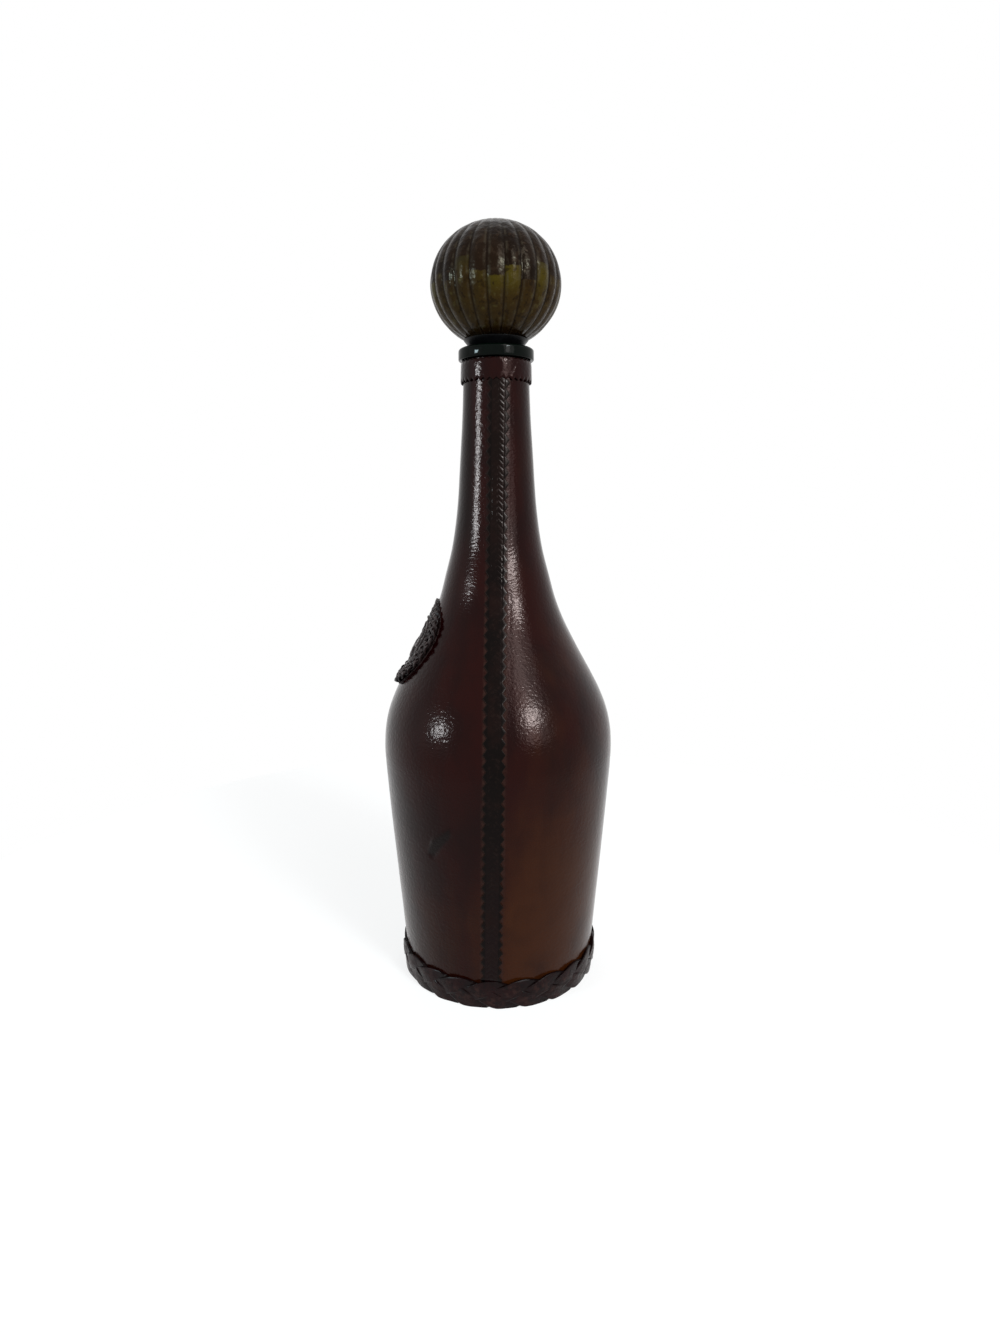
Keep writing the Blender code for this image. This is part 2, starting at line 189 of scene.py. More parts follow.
def strip_offset(height):
    """How far the strips' middle is from their side's middle plane."""
    share = (height - STRIP_LOW) / (STRIP_HIGH - STRIP_LOW)
    return STRIP_FOOT_OFFSET + (STRIP_TOP_OFFSET - STRIP_FOOT_OFFSET) * share


def beside_strip(height, turn):
    """Distance round the cover from the nearer strip's middle, positive towards greater turns."""
    half_turn = (turn + math.pi / 2) % math.pi - math.pi / 2
    return half_turn * cover_radius(height) - strip_offset(height)


# Meshes from grids of points

SHARP_ANGLE = math.radians(35.0)


def grid_quads(rows, columns, closed_rows=False, closed_columns=False):
    """Quads of a grid of points, whose last row or column may join up with its first."""
    index = np.arange(rows * columns).reshape(rows, columns)
    if closed_rows:
        index = np.vstack([index, index[:1]])
    if closed_columns:
        index = np.hstack([index, index[:, :1]])
    corners = index[:-1, :-1], index[:-1, 1:], index[1:, 1:], index[1:, :-1]
    return np.stack(corners, axis=-1).reshape(-1, 4)


def add_piece(name, points, faces, marks=None):
    """A mesh object. Marks are named values, one for each point, that its material reads."""
    mesh = bpy.data.meshes.new(name)
    mesh.from_pydata(points.tolist(), [], [list(face) for face in faces])
    for mark, values in (marks or {}).items():
        data = mesh.attributes.new(mark, "FLOAT", "POINT").data
        data.foreach_set("value", values.astype(np.float32).ravel())
    mesh.shade_smooth()
    mesh.set_sharp_from_angle(angle=SHARP_ANGLE)
    obj = bpy.data.objects.new(name, mesh)
    bpy.context.scene.collection.objects.link(obj)
    return obj


def shell(name, outer, inner, marks):
    """A closed piece between two grids of points of the same size, with the same marks on both."""
    rows, columns = outer.shape[:2]
    count = rows * columns
    quads = grid_quads(rows, columns)
    index = np.arange(count).reshape(rows, columns)
    rim = np.concatenate([index[0, :-1], index[:-1, -1], index[-1, :0:-1], index[:0:-1, 0]])
    ahead = np.roll(rim, -1)
    walls = np.stack([ahead, rim, rim + count, ahead + count], axis=-1)
    points = np.concatenate([outer.reshape(-1, 3), inner.reshape(-1, 3)])
    faces = np.concatenate([quads, quads[:, ::-1] + count, walls])
    marks = {mark: np.tile(values.ravel(), 2) for mark, values in marks.items()}
    return add_piece(name, points, faces.tolist(), marks)


def tube_grid(grid, first):
    """(points, quads) of a closed ring whose sections are closed too."""
    rows, columns = grid.shape[:2]
    return grid.reshape(-1, 3), grid_quads(rows, columns, True, True) + first


def rounded(profile, size, closed):
    """The profile with each corner of over 25 degrees rounded."""
    points = [Vector(p) for p in profile]
    made = []
    for i, point in enumerate(points):
        at_end = i in (0, len(points) - 1)
        before, after = points[i - 1] - point, points[(i + 1) % len(points)] - point
        if (at_end and not closed) or before.angle(after) > math.radians(155):
            made.append(point)
            continue
        a = before.normalized() * min(size, before.length * 0.45)
        b = after.normalized() * min(size, after.length * 0.45)
        for share in (0.0, 0.25, 0.5, 0.75, 1.0):
            made.append(point + a * (1 - share) ** 2 + b * share ** 2)
    return np.array([tuple(p) for p in made])


def meridian(node):
    """(points, closed) of a turned node's section, as (radius, height) in order."""
    mesh = NODES[node].data
    keys = {v.index: (round(v.co.x, 5), round(v.co.z, 5)) for v in mesh.vertices
            if abs(v.co.y) < 1e-6 and v.co.x > -1e-6}
    links = {}
    for edge in mesh.edges:
        a, b = (keys.get(i) for i in edge.vertices)
        if a and b and a != b:
            links.setdefault(a, set()).add(b)
            links.setdefault(b, set()).add(a)
    ends = sorted(key for key in links if len(links[key]) == 1)
    chain = [max(ends, key=lambda key: key[1]) if ends else max(links, key=lambda key: (key[1], key[0]))]
    while True:
        onward = [key for key in sorted(links[chain[-1]], reverse=True) if key not in chain]
        if not onward:
            return chain, not ends
        chain.append(onward[0])


def lathe(name, profile, closed, steps, shape=None, marks=None):
    """Turns (radius, height) points round the axis. Shape may then move the grid of points."""
    turns = np.arange(steps) * math.tau / steps
    rings = profile if closed else profile[1:-1]
    grid = around(rings[:, :1], rings[:, 1:], turns[None, :])
    if shape:
        grid = shape(grid)
    rows = len(rings)
    points = grid.reshape(-1, 3)
    quads = grid_quads(rows, steps, closed, True)[:, ::-1].tolist()
    if not closed:
        count = rows * steps
        points = np.concatenate([points, [[0.0, 0.0, profile[0][1]], [0.0, 0.0, profile[-1][1]]]])
        for i in range(steps):
            ahead = (i + 1) % steps
            quads.append([count, i, ahead])
            quads.append([count + 1, count - steps + ahead, count - steps + i])
    return add_piece(name, points, quads, marks)


# Materials

class Shader:
    """A material, with a short way to add nodes and link them."""

    def __init__(self, name):
        self.material = bpy.data.materials.new(name)
        self.material.use_nodes = True
        self.tree = self.material.node_tree
        self.surface = self.tree.nodes["Principled BSDF"]
        self.place = self.add("ShaderNodeTexCoord").outputs["Object"]

    def add(self, kind, **values):
        """A node. Values are its inputs, or its settings where it has no such input."""
        node = self.tree.nodes.new(kind)
        for key, value in values.items():
            if key.title() in node.inputs:
                self.feed(node.inputs[key.title()], value)
            else:
                setattr(node, key, value)
        return node

    def feed(self, socket, value):
        if isinstance(value, bpy.types.NodeSocket):
            self.tree.links.new(value, socket)
        elif isinstance(value, tuple) and len(value) == 3 and socket.type == "RGBA":
            socket.default_value = (*value, 1.0)
        else:
            socket.default_value = value

    def stretched(self, scale):
        mapping = self.add("ShaderNodeMapping", vector=self.place)
        mapping.inputs["Scale"].default_value = scale
        return mapping.outputs["Vector"]

    def noise(self, scale, detail=3.0, place=None):
        node = self.add("ShaderNodeTexNoise", vector=place or self.place, scale=scale, detail=detail,
                        roughness=0.55)
        return node.outputs["Factor"] if "Factor" in node.outputs else node.outputs["Fac"]

    def cells(self, scale, place=None, feature="F1"):
        node = self.add("ShaderNodeTexVoronoi", vector=place or self.place, scale=scale, feature=feature)
        return node.outputs["Distance"]

    def mark(self, name):
        return self.add("ShaderNodeAttribute", attribute_name=name).outputs["Fac"]

    def axis(self, name):
        return self.add("ShaderNodeSeparateXYZ", vector=self.place).outputs[name]

    def math(self, operation, a, b=0.0, clamp=False):
        node = self.add("ShaderNodeMath", operation=operation, use_clamp=clamp)
        self.feed(node.inputs[0], a)
        self.feed(node.inputs[1], b)
        return node.outputs["Value"]

    def between(self, value, low, high, to_low=0.0, to_high=1.0):
        node = self.add("ShaderNodeMapRange", interpolation_type="SMOOTHSTEP")
        names = ("Value", "From Min", "From Max", "To Min", "To Max")
        for socket, number in zip(names, (value, low, high, to_low, to_high)):
            self.feed(node.inputs[socket], number)
        return node.outputs["Result"]

    def blend(self, share, a, b):
        node = self.add("ShaderNodeMix", data_type="RGBA")
        self.feed(node.inputs["Factor"], share)
        self.feed(node.inputs[6], a)
        self.feed(node.inputs[7], b)
        return node.outputs[2]

    def bump(self, height, distance, strength=1.0, under=None):
        node = self.add("ShaderNodeBump", height=height, distance=distance, strength=strength)
        if under:
            self.feed(node.inputs["Normal"], under)
        return node.outputs["Normal"]

    def finish(self, **values):
        for key, value in values.items():
            self.feed(self.surface.inputs[key.replace("_", " ").title().replace("Ior", "IOR")], value)
        return self.material


def cover_leather():
    s = Shader("cover_leather")
    height = s.axis("Z")
    side = s.axis("X")
    clouds = s.noise(38.0, 4.0)
    streaks = s.noise(120.0, 4.0, s.stretched((1.0, 1.0, 0.18)))
    # Browner towards the foot and the right side: partly the leather's own stain, partly a painted reflection
    # of a warm floor.
    brown_stain_and_reflection = s.math("ADD", s.between(height, 0.140, 0.020), s.between(side, -0.020, 0.020, -0.55, 0.25))
    brown_stain_and_reflection = s.math("ADD", brown_stain_and_reflection, s.math("MULTIPLY", s.math("SUBTRACT", clouds, 0.5), 1.0))
    brown_stain_and_reflection = s.math("ADD", brown_stain_and_reflection, s.math("MULTIPLY", s.math("SUBTRACT", streaks, 0.5), 0.7))
    patches = s.noise(70.0, 3.0, s.stretched((1.0, 1.0, 0.45)))
    red = s.blend(s.between(patches, 0.36, 0.62), (0.0062, 0.0002, 0.0003), (0.0120, 0.0005, 0.0003))
    color = s.blend(s.between(brown_stain_and_reflection, 0.10, 1.25), red, (0.036, 0.0092, 0.0020))
    color = s.blend(s.between(s.noise(24.0, 3.0), 0.54, 0.74, 0.0, 0.6), color, (0.0036, 0.0003, 0.0005))
    # Near-black on the left side of the neck: painted shade.
    dark = s.math("MULTIPLY", s.between(side, -0.0085, -0.0115), s.between(height, 0.185, 0.205))
    color = s.blend(s.math("MULTIPLY", dark, 0.85), color, (0.0004, 0.0001, 0.0002))
    # Lighter beside the strips, darker up the neck: partly worn leather, partly a painted highlight on the
    # wedges between the teeth.
    wedge = s.blend(s.between(height, 0.195, 0.165), (0.009, 0.0030, 0.0026), (0.025, 0.0095, 0.0070))
    wear_and_sheen = s.math("MULTIPLY", s.mark("seam"), s.between(s.noise(700.0, 2.0), 0.26, 0.52))
    color = s.blend(s.math("MULTIPLY", wear_and_sheen, 0.9), color, wedge)
    color = s.blend(s.mark("scuff"), color, (0.0002, 0.0001, 0.0002))
    creases = s.cells(620.0, s.stretched((1.0, 1.0, 1.7)), "SMOOTH_F1")
    grain = s.cells(1500.0, s.stretched((1.0, 1.0, 1.3)))
    pores = s.noise(950.0, 2.0)
    dull = s.math("MULTIPLY", s.between(side, -0.014, -0.022), s.between(height, 0.165, 0.140))
    normal = s.bump(creases, 0.00018, 0.3)
    normal = s.bump(grain, 0.00006, 0.3, normal)
    normal = s.bump(pores, 0.00022, 0.3, normal)
    normal = s.bump(s.math("MULTIPLY", s.noise(720.0, 2.0), dull), 0.00036, 0.3, normal)
    rough = s.math("ADD", s.between(clouds, 0.3, 0.7, 0.12, 0.17), s.math("MULTIPLY", s.mark("seam"), 0.10))
    rough = s.math("ADD", rough, s.math("MULTIPLY", dull, 0.01))
    rough = s.math("ADD", rough, s.math("MULTIPLY", s.mark("scuff"), 0.12))
    return s.finish(base_color=color, roughness=rough, normal=normal, specular_ior_level=0.13,
                    specular_tint=(1.0, 0.74, 0.70))


def strip_leather():
    s = Shader("strip_leather")
    height = s.axis("Z")
    tone = s.noise(90.0, 4.0)
    color = s.blend(s.between(height, 0.175, 0.200), (0.0007, 0.0003, 0.0003), (0.0034, 0.0013, 0.0010))
    color = s.blend(s.between(height, 0.100, 0.020), color, (0.0052, 0.0016, 0.0020))
    color = s.blend(s.between(tone, 0.45, 0.75), color, (0.0060, 0.0017, 0.0013))
    worn = s.math("MULTIPLY", s.mark("high"), s.between(s.noise(500.0, 3.0), 0.45, 0.75, 0.0, 0.6))
    color = s.blend(worn, color, (0.0125, 0.0060, 0.0048))
    color = s.blend(s.mark("teeth"), color, (0.0002, 0.0001, 0.0001))
    color = s.blend(s.math("MULTIPLY", s.mark("rim"), 0.6), color, (0.0150, 0.0070, 0.0042))
    normal = s.bump(s.noise(900.0, 3.0), 0.00006, 0.3)
    normal = s.bump(s.cells(1700.0), 0.00003, 0.3, normal)
    rough = s.math("ADD", s.between(tone, 0.3, 0.7, 0.17, 0.24), s.math("MULTIPLY", s.mark("rim"), 0.5))
    return s.finish(base_color=color, roughness=rough, normal=normal, specular_ior_level=0.095,
                    specular_tint=(1.0, 0.84, 0.80))


def plaited_leather(name, dark, light, worn, specular):
    s = Shader(name)
    tone = s.noise(110.0, 4.0)
    color = s.blend(s.between(tone, 0.35, 0.70), dark, light)
    # Lighter where the strands and the rosette rise: partly worn leather, partly a painted highlight.
    painted_sheen = s.math("MULTIPLY", s.mark("high"), s.between(s.noise(420.0, 3.0), 0.42, 0.66, 0.05, 0.85))
    color = s.blend(painted_sheen, color, worn)
    # Darker in the hollows under the crossings, between the strands and in the sunk tooling: painted shade,
    # with random dark pits.
    pits = s.between(s.noise(560.0, 3.0), 0.46, 0.36, 0.0, 0.85)
    pits = s.math("MAXIMUM", s.math("MULTIPLY", s.mark("deep"), 0.8), pits)
    color = s.blend(pits, color, (0.0026, 0.0009, 0.0010))
    normal = s.bump(s.noise(420.0, 4.0, s.stretched((1.0, 1.0, 1.6))), 0.0008, 0.3)
    normal = s.bump(s.cells(1300.0), 0.0001, 0.3, normal)
    rough = s.between(s.noise(300.0, 2.0), 0.3, 0.7, 0.24, 0.44)
    return s.finish(base_color=color, roughness=rough, normal=normal, specular_ior_level=specular)


def sole_leather():
    s = Shader("sole_leather")
    fibres = s.noise(1200.0, 5.0)
    color = s.blend(s.between(s.noise(60.0, 4.0), 0.35, 0.70), (0.060, 0.026, 0.014), (0.120, 0.058, 0.032))
    color = s.blend(s.between(fibres, 0.50, 0.80), color, (0.150, 0.085, 0.050))
    normal = s.bump(fibres, 0.0004, 0.6)
    return s.finish(base_color=color, roughness=0.75, normal=normal)


def green_glass():
    s = Shader("green_glass")
    tone = s.between(s.noise(200.0, 3.0), 0.3, 0.7)
    color = s.blend(tone, (0.0003, 0.0014, 0.0008), (0.0006, 0.0028, 0.0016))
    normal = s.bump(s.noise(330.0, 3.0), 0.0002, 0.35)
    return s.finish(base_color=color, roughness=0.06, normal=normal, ior=1.52, transmission_weight=0.04,
                    specular_ior_level=0.05)


def amber_glass():
    s = Shader("amber_glass")
    height = s.axis("Z")
    flow = s.noise(95.0, 4.0, s.stretched((1.0, 1.0, 0.55)))
    streaks = s.noise(420.0, 4.0, s.stretched((1.0, 1.0, 0.16)))
    specks = s.noise(380.0, 4.0)
    # Dark brown above and golden below: partly the glass's own amber-olive colour, mostly a painted
    # reflection of the room, dark above and light below.
    top = s.blend(s.between(flow, 0.46, 0.60), (0.0040, 0.0010, 0.0003), (0.0095, 0.0040, 0.0018))
    top = s.blend(s.between(specks, 0.52, 0.64, 0.0, 0.8), top, (0.0195, 0.0100, 0.0055))
    # Brighter golden patches on some ribs: painted reflection.
    brighter_reflection = s.math("ADD", s.mark("brighter_reflection"), s.math("MULTIPLY", s.math("SUBTRACT", flow, 0.5), 1.6), True)
    low = s.blend(brighter_reflection, (0.0200, 0.0092, 0.0016), (0.0500, 0.0345, 0.0030))
    low = s.blend(s.between(height, 0.2935, 0.2855), low, (0.0320, 0.0168, 0.0030))
    low = s.blend(s.between(specks, 0.56, 0.66, 0.0, 0.6), low, (0.0650, 0.0480, 0.0150))
    low = s.blend(s.between(specks, 0.44, 0.36, 0.0, 0.7), low, (0.0068, 0.0026, 0.0005))
    low = s.blend(s.between(height, 0.2955, 0.3005, 0.0, 0.7), low, (0.0205, 0.0150, 0.0050))
    golden_reflection = s.math("ADD", s.mark("golden_reflection"), s.math("MULTIPLY", s.math("SUBTRACT", specks, 0.5), 1.2))
    color = s.blend(s.between(golden_reflection, 0.36, 0.64), top, low)
    # Darker just above the collar: painted shade at the ball's foot.
    color = s.blend(s.between(height, 0.2800, 0.2745), color, (0.0085, 0.0038, 0.0018))
    color = s.blend(s.between(streaks, 0.54, 0.70, 0.0, 0.6), color, (0.0090, 0.0032, 0.0011))
    # Dark grooves between the ribs: painted shade.
    color = s.blend(s.math("MULTIPLY", s.mark("groove"), 0.9), color, (0.0034, 0.0011, 0.0005))
    # Light lines along the rib edges: painted highlight.
    painted_sheen = s.math("MULTIPLY", s.mark("edge"), s.between(specks, 0.42, 0.60, 0.03, 0.50))
    color = s.blend(painted_sheen, color, (0.047, 0.037, 0.025))
    normal = s.bump(s.noise(300.0, 2.0), 0.0014, 0.3)
    normal = s.bump(s.noise(900.0, 3.0, s.stretched((1.0, 1.0, 0.35))), 0.00006, 0.3, normal)
    return s.finish(base_color=color, roughness=s.between(flow, 0.3, 0.7, 0.16, 0.26), normal=normal, ior=1.5,
                    transmission_weight=0.03, specular_ior_level=0.07, specular_tint=(1.0, 0.86, 0.66))


def black_plastic():
    s = Shader("black_plastic")
    tone = s.between(s.noise(300.0, 3.0), 0.4, 0.7)
    color = s.blend(tone, (0.0014, 0.0014, 0.0017), (0.0036, 0.0036, 0.0042))
    normal = s.bump(s.noise(1500.0, 3.0), 0.0001, 0.4)
    return s.finish(base_color=color, roughness=0.34, normal=normal, specular_ior_level=0.1)


def cork():
    s = Shader("cork")
    grains = s.cells(520.0)
    color = s.blend(s.between(grains, 0.15, 0.75), (0.330, 0.190, 0.095), (0.520, 0.350, 0.200))
    color = s.blend(s.between(s.noise(260.0, 4.0), 0.60, 0.70), color, (0.110, 0.050, 0.022))
    color = s.blend(s.mark("deep"), color, (0.060, 0.028, 0.013))
    normal = s.bump(grains, 0.0004, 0.4)
    normal = s.bump(s.noise(1800.0, 4.0), 0.0002, 0.6, normal)
    return s.finish(base_color=color, roughness=0.88, normal=normal)


# Leather cover

# The scuff starts this far up and this far left of the near side's middle
SCUFF_LOW = 0.0680
SCUFF_START = 0.0318
SCUFF_LENGTH = 12.0 * MM
SCUFF_TILT = 0.18


def cover_relief(points, height, turn):
    """How far the cover's leather stands off its plain form."""
    near_turn = (turn + math.pi) % math.tau - math.pi
    waves = 0.055 * noise(points, 0.013, 1) + 0.016 * noise(points, 0.0048, 2)
    crinkles = 0.006 * noise(points, np.array([0.0030, 0.0030, 0.0016]), 3)
    seam = 0.08 * smooth_step(6.0 * MM, 4.3 * MM, np.abs(beside_strip(height, turn)))
    tilt = SCUFF_TILT * scuff(height, near_turn) * (height - scuff_middle(height, near_turn))
    return (waves + crinkles + seam) * MM + tilt


def scuff_middle(height, turn):
    """Height of the scuff's middle line, which climbs as much as it runs."""
    return SCUFF_LOW + turn * cover_radius(height) + SCUFF_START


def scuff(height, turn):
    """A dark scuff on the near left of the cover, slanting up towards the strip."""
    along = (turn * cover_radius(height) + SCUFF_START) / SCUFF_LENGTH
    middle = scuff_middle(height, turn)
    inside = smooth_step(-0.05, 0.12, along) * smooth_step(1.05, 0.90, along)
    width = 0.0008 + 0.0040 * smooth_step(0.0, 0.30, along) * (1 - 0.70 * along)
    return inside * smooth_step(width * 1.5, width * 0.5, np.abs(height - middle))


def cover_panel(name, node, start):
    """Half of the cover, from the seam at the start turn to the one opposite."""
    rows, columns = 330, 200
    height = heights_evenly(FOOT_HEIGHT, NECK_TOP, rows)[:, None]
    gap = SEAM_HALF_GAP / cover_radius(height)
    turn = start + gap + (math.pi - 2 * gap) * np.linspace(0, 1, columns)[None, :]
    height = height + 0 * turn
    plain = on_cover(height, turn, 0.0)
    outer = on_cover(height, turn, cover_relief(plain, height, turn))
    inner = on_cover(height, turn, -LEATHER_THICKNESS)
    near_turn = (turn + math.pi) % math.tau - math.pi
    # The seam mark lightens the leather beside the strips, partly as a painted highlight.
    seam = smooth_step(5.0 * MM, 4.4 * MM, np.abs(beside_strip(height, turn)))
    piece = shell(name, outer, inner, marks={"seam": seam, "scuff": scuff(height, near_turn)})
    dress(piece, cover_leather_material, "bottle", node)


# Seam strips

TOOTH_PITCH = 4.4 * MM
TOOTH_DEPTH = 1.6 * MM
STRIP_HALF = 4.6 * MM
CHEVRON_PITCH = 2.35 * MM
CHEVRON_HALF = 2.15 * MM
BORDER_OFFSET = 2.35 * MM


def strip_tooling(height, offset, points):
    """Height of the tooled pattern, from 0 in its lines up to 1."""
    wander = 0.35 * MM * noise(points, 0.006, 11)
    lines = zigzag((height + 0.95 * np.abs(offset) + wander) / CHEVRON_PITCH)
    chevrons = smooth_step(0.08, 0.55, lines)
    chevrons = np.where(np.abs(offset) < CHEVRON_HALF, chevrons, 1.0)
    border = smooth_step(0.10 * MM, 0.32 * MM, np.abs(np.abs(offset) - BORDER_OFFSET))
    spine = smooth_step(0.0, 0.25 * MM, np.abs(offset))
    return np.minimum(np.minimum(chevrons, border), 0.35 + 0.65 * spine)


def seam_strip(name, node, side):
    """A pinked and tooled strip over the seam on the side at that turn."""
    rows, columns = 960, 37
    low, high = STRIP_LOW - 1.6 * MM, STRIP_HIGH + 1.6 * MM
    height = heights_evenly(low, high, rows)[:, None]
    length = np.interp(height, WALK_HEIGHTS, WALK_LENGTHS)
    across = np.linspace(-1, 1, columns)[None, :]
    tooth = zigzag(length / TOOTH_PITCH)
    jitter = 0.25 * MM * noise(around(0.02 + 0 * height, height, side + 0 * height), 0.0045, 12)
    half = STRIP_HALF - TOOTH_DEPTH * (1 - tooth) + jitter
    offset = across * half
    height = height + 0 * offset
    turn = side + (strip_offset(height) + offset) / (cover_radius(height) + 0.5 * MM)
    plain = on_cover(height, turn, 0.0)
    worn = smooth_step(-0.5, 0.7, noise(plain, 0.014, 13))
    tooling = strip_tooling(length + 0 * offset, offset, plain)
    ends = smooth_step(low, low + 3 * MM, height) * smooth_step(high, high - 3 * MM, height)
    edge = np.abs(across) ** 5
    crispness = 0.25 + 0.55 * smooth_step(0.165, 0.185, height) + 0.35 * smooth_step(0.090, 0.060, height)
    top = 0.34 * MM + (0.50 * MM - 0.16 * MM * edge) * (0.25 + 0.75 * ends)
    top -= (0.08 + 0.12 * worn) * MM * (1 - tooling) * ends * crispness
    top += 0.010 * MM * noise(plain, 0.0021, 14)
    outer = on_cover(height, turn, top)
    inner = on_cover(height, turn, 0.10 * MM + 0 * turn)
    teeth = smooth_step(2.5 * MM, 2.9 * MM, np.abs(offset)) * (1 - 0.6 * edge)
    rim = np.where(np.abs(across) > 0.999, 1.0, 0.0)
    marks = {"high": tooling * (1 - teeth), "teeth": teeth, "rim": rim + 0 * turn}
    piece = shell(name, outer, inner, marks=marks)
    dress(piece, strip_leather_material, "bottle", node)


# Neck band

BAND_TEETH = 34
# Where the band's lap ends, how far round a turn takes it, and how much the end slants
LAP_TURN = 0.36
LAP_RADIUS = 15 * MM
LAP_SLANT = 0.55


def neck_band():
    """A pinked band round the neck, whose skived end laps over it."""
    columns, rows = 1000, 18
    turn = (np.arange(columns) * math.tau / columns)[:, None]
    tooth = zigzag(turn * BAND_TEETH / math.tau)
    low = BAND_LOW + (0.60 - 1.10 * tooth) * MM
    high = NECK_TOP - (0.65 - 0.55 * tooth) * MM
    share = np.linspace(0, 1, rows)[None, :]
    height = low + (high - low) * share
    beside = beside_strip(height, turn)
    rounding = 1 - np.abs(2 * share - 1) ** 7
    skived = smooth_step(0.0, 0.9 * MM, (turn - LAP_TURN) * LAP_RADIUS - (height - BAND_LOW) * LAP_SLANT)
    lap = skived * smooth_step(0.95, 0.55, turn)
    outer_lift = (0.72 + 0.30 * rounding + 0.28 * np.exp(-(beside / (3.2 * MM)) ** 2) + 0.10 * lap) * MM
    plain = on_cover(height, turn, 0.0)
    outer_lift = outer_lift + (0.05 * noise(plain, 0.0042, 21) + 0.02 * noise(plain, 0.0016, 22)) * MM
    outer = on_cover(height, turn, outer_lift)
    inner = on_cover(height, turn, 0.12 * MM + 0 * height)
    grid = np.concatenate([outer, inner[:, ::-1]], axis=1)
    points, quads = tube_grid(grid, 0)
    marks = {"seam": np.zeros(len(points)), "scuff": np.zeros(len(points))}
    piece = add_piece("band", points, quads[:, ::-1], marks=marks)
    dress(piece, cover_leather_material, "bottle", "neck_band")


# Plaits

def section(count, width, thickness):
    """(across, outward) points round a flat strand's section."""
    angle = np.arange(count) * math.tau / count
    across = np.sign(np.cos(angle)) * np.abs(np.cos(angle)) ** 0.55
    outward = np.sign(np.sin(angle)) * np.abs(np.sin(angle)) ** 0.75
    return across * width / 2, outward * thickness / 2


def strand(phase, periods, length, middle, swing, weave, width, thickness, steps, seed):
    """Places (along, across, outward) round one strand of a flat plait of three, as grids."""
    along = (np.arange(steps) * length / steps)[:, None]
    angle = math.tau * (periods * along / length) + phase
    path = middle + swing * np.sin(angle)
    lift = weave * np.sin(2 * angle)
    slope = swing * math.tau * periods / length * np.cos(angle)
    cosine = 1 / np.hypot(1, slope)
    across, outward = section(26, width, thickness)
    across, outward = across[None, :], outward[None, :]
    turn = math.tau * along / length
    round_place = np.stack([np.cos(turn), np.sin(turn), 0 * along], axis=-1)
    wide = 1 + 0.07 * noise(round_place + phase, 0.12, seed)
    across = across * wide
    ridges = 0.10 * thickness * np.cos(across / (width / 2) * math.pi * 2.0) * (outward > 0)
    return (along - across * slope * cosine, path + across * cosine, lift + outward + ridges,
            0 * along + np.abs(across) / (width / 2), 0 * along + lift / weave)


def foot_point(height, turn, lift):
    """Points that stand lift outside the cover's foot, straight down from it below the foot."""
    base = cover_radius(np.maximum(height, FOOT_HEIGHT))
    share = np.clip(height / BRAID_HEIGHT, 0.0, 1.0)
    edge = np.where(share > 0.5, 0.42, 0.80)
    bulge = edge + (1 - edge) * np.sqrt(np.sin(math.pi * share))
    return around(base + 0.25 * MM + lift * bulge, height, turn)


def add_plait(name, strands, material, node):
    """One piece of strands, each given as (places, beside, lift) round it."""
    points, quads, high, deep = [], [], [], []
    for place, beside, lift in strands:
        grid, faces = tube_grid(place, sum(map(len, points)))
        points.append(grid)
        quads.append(faces)
        # high marks where a strand lies over, for worn leather and a painted highlight; deep marks where it
        # dips under and its sides, for painted shade.
        high.append((smooth_step(0.0, 1.0, lift) * (1 - beside ** 4)).ravel())
        deep.append((smooth_step(-0.2, -1.0, lift) + beside ** 6 * 0.5).clip(0, 1).ravel())
    marks = {"high": np.concatenate(high), "deep": np.concatenate(deep)}
    piece = add_piece(name, np.concatenate(points), np.concatenate(quads)[:, ::-1], marks=marks)
    dress(piece, material, "bottle", node)


def foot_plait():
    """A flat plait of three strands round the foot."""
    radius = float(cover_radius(np.array(BRAID_HEIGHT / 2)))
    length = math.tau * radius
    strands = []
    for k in range(3):
        along, across, outward, beside, lift = strand(
            math.tau * k / 3, periods=7, length=length, middle=5.9 * MM, swing=3.4 * MM, weave=0.42 * MM,
            width=6.9 * MM, thickness=1.05 * MM, steps=840, seed=30 + k)
        against_cover = (0.02 * k - 0.15) * MM
        out = np.where(outward < 0, against_cover, 1.0 * MM + outward)
        place = foot_point(np.clip(across, 0.0, 14 * MM), along / radius, out)
        place = place + 0.05 * MM * noise(place, 0.0030, 33)[..., None]
        place[..., 2] = np.maximum(place[..., 2], 0.0)
        strands.append((place, beside, lift))
    add_plait("foot_plait", strands, foot_leather_material, "foot_braid")


# Shoulder medallion

def on_medallion(x, y, lift):
    """Points on the shoulder, from places on the flat medallion seen from outside."""
    start = np.interp(MEDALLION_HEIGHT, WALK_HEIGHTS, WALK_LENGTHS)
    height = np.interp(start + y, WALK_LENGTHS, WALK_HEIGHTS)
    return on_cover(height, MEDALLION_TURN + x / cover_radius(height), lift)


def medallion_lumps(x, y):
    """How much the worked leather swells and sinks at places on the flat medallion."""
    place = np.stack([x, y, 0 * x], axis=-1)
    swells = np.cos((y - 11.0 * MM) * math.tau / (13.6 * MM))
    return (0.30 * swells + 0.26 * noise(place, 0.0052, 81) + 0.22 * noise(place, 0.0019, 82)) * MM


